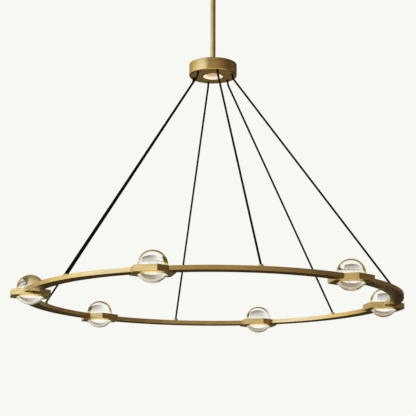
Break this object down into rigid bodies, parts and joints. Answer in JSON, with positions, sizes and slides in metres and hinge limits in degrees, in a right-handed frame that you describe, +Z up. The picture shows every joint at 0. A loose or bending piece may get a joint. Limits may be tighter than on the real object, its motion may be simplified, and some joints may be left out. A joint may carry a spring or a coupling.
{
  "type": "ring chandelier",
  "caption": "Ring chandelier: clear round crystals in hexagonal brass settings on a flat brass ring, hung by black cords from a round hub with a downlight, on a stem and ceiling canopy.",
  "frame": {"origin": "on the ceiling, at the middle of the crossbar's top face", "axes": "+Z up into the ceiling, +X along the crossbar and through the first light"},
  "size_m": [1.22, 1.1548, 1.1685],
  "materials": {
    "brass": "satin, fine brush lines, lacquered",
    "plated_steel": "zinc plated",
    "driver_case": "moulded, fine grain",
    "black_nylon": "moulded",
    "black_cord": "braided textile sleeve",
    "white_reflector": "satin white",
    "opal_lens": "opal, lit warm white",
    "led_board": "solder mask",
    "led_strip": "silicone-coated LED strip, lit warm white",
    "heat_sink": "as extruded",
    "crystal": "polished, clear",
    "clear_gasket": "translucent silicone"
  },
  "bodies": {
    "ceiling_mount": {"crossbar": "plated_steel", "crossbar_nipple": "plated_steel", "crossbar_nut": "plated_steel", "canopy": "brass", "canopy_collar": "brass", "led_driver": "driver_case"},
    "swivel": {"swivel_yoke": "brass", "trunnion_screws": "plated_steel"},
    "pendant": {"arc_screws": "plated_steel", "bezel_rings": "brass", "cord_1": "black_cord", "cord_2": "black_cord", "cord_3": "black_cord", "cord_4": "black_cord", "cord_5": "black_cord", "cord_6": "black_cord", "crystal_1": "crystal", "crystal_2": "crystal", "crystal_3": "crystal", "crystal_4": "crystal", "crystal_5": "crystal", "crystal_6": "crystal", "crystal_gaskets": "clear_gasket", "downlight_heat_sink": "heat_sink", "downlight_led_board": "led_board", "downlight_lens": "opal_lens", "downlight_reflector": "white_reflector", "ferrule_nuts": "plated_steel", "heat_sink_screws": "plated_steel", "hub_cord_grips": "black_nylon", "hub_housing": "brass", "hub_nut": "plated_steel", "hub_plate": "brass", "led_rings": "led_strip", "light_setting_1": "brass", "light_setting_2": "brass", "light_setting_3": "brass", "light_setting_4": "brass", "light_setting_5": "brass", "light_setting_6": "brass", "plate_screws": "brass", "ring_arc_1": "brass", "ring_arc_2": "brass", "ring_arc_3": "brass", "ring_arc_4": "brass", "ring_arc_5": "brass", "ring_arc_6": "brass", "ring_ferrule_1": "brass", "ring_ferrule_2": "brass", "ring_ferrule_3": "brass", "ring_ferrule_4": "brass", "ring_ferrule_5": "brass", "ring_ferrule_6": "brass", "stem": "brass", "stem_nipple": "plated_steel", "swivel_fitting": "brass"}
  },
  "joints": [
    {"name": "swivel_turn", "type": "hinge", "parent": "ceiling_mount", "child": "swivel", "pos_m": [0, 0, -0.042], "axis": [0, 0, 1], "range_deg": [-170, 170]},
    {"name": "swivel_tilt", "type": "hinge", "parent": "swivel", "child": "pendant", "pos_m": [0, 0, -0.0558], "axis": [1, 0, 0], "range_deg": [-45, 45]}
  ]
}
